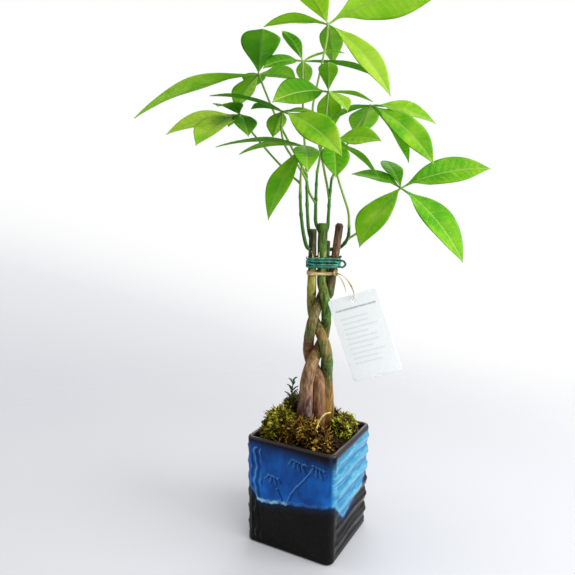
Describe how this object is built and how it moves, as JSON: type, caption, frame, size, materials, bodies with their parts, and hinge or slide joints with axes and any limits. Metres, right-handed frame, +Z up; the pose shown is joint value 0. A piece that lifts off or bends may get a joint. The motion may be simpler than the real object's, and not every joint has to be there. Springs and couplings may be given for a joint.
{
  "type": "potted money tree",
  "caption": "Braided money tree with palmate leaves on green shoots, tied at the top and standing in moss and soil in a square glazed pot with a card tag.",
  "frame": {"origin": "centre of the pot's flat base, on its underside", "axes": "+Z up along the pot and the trunk; -Y out of the pot's carved wall; +X to the right of someone facing that wall"},
  "size_m": [0.3011, 0.2052, 0.5748],
  "materials": {
    "glaze": "gloss",
    "soil": "matte",
    "moss_green": "matte",
    "moss_brown": "matte",
    "bark": "matte",
    "green_bark": "satin",
    "shoot": "satin",
    "leaf": "satin",
    "young_leaf": "satin",
    "wire": "gloss",
    "raffia": "matte",
    "card": "matte"
  },
  "bodies": {
    "root": {"pot": "glaze", "soil": "soil", "moss_left_front": "moss_green", "moss_left_back": "moss_green", "moss_middle": "moss_brown", "moss_back": "moss_brown", "moss_front": "moss_brown", "moss_right": "moss_green", "moss_sprig": "moss_green", "stem_green": "green_bark", "stem_left": "bark", "stem_back": "bark", "cut_cane": "bark", "wire_tie": "wire", "raffia_tie": "raffia", "card_tag": "card", "shoot_1": "shoot", "shoot_2": "shoot", "shoot_3": "shoot", "shoot_4": "shoot", "shoot_5": "shoot", "leaf_top": "young_leaf", "leaf_upper_left": "leaf", "leaf_middle": "leaf", "leaf_centre": "young_leaf", "leaf_front": "leaf", "leaf_left": "leaf", "leaf_low_left": "leaf", "leaf_right": "leaf", "leaf_low_right": "leaf", "leaf_far_right": "leaf"}
  },
  "joints": []
}
